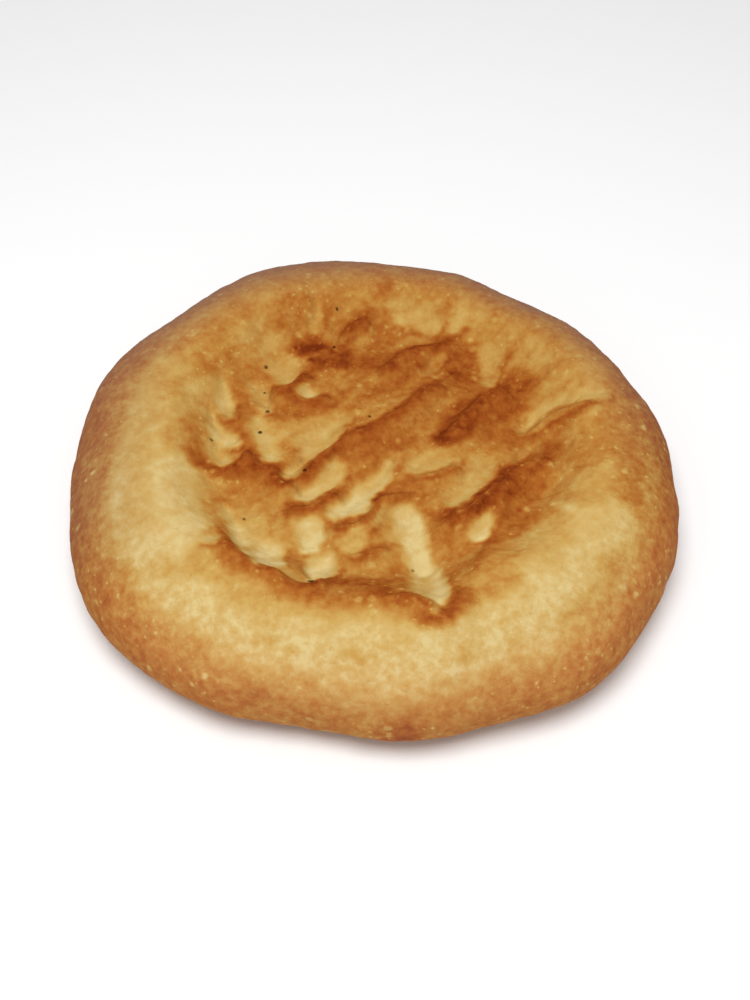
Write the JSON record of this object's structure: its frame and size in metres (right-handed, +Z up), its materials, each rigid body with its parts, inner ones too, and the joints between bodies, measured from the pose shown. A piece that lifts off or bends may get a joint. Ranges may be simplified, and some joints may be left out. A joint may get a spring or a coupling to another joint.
{
  "type": "flatbread",
  "caption": "Round puffed flatbread with a thick smooth rim and a pressed, wrinkled and browned middle.",
  "frame": {"origin": "on the flat underside, below the middle of the outline's box", "axes": "+Z up out of the pressed top, +X along the widest way across, -Y towards the side the picture is taken from"},
  "size_m": [0.239, 0.2356, 0.0492],
  "materials": {
    "crust": "golden brown baked crust, softly satin"
  },
  "bodies": {
    "root": {"flatbread": "crust"}
  },
  "joints": []
}
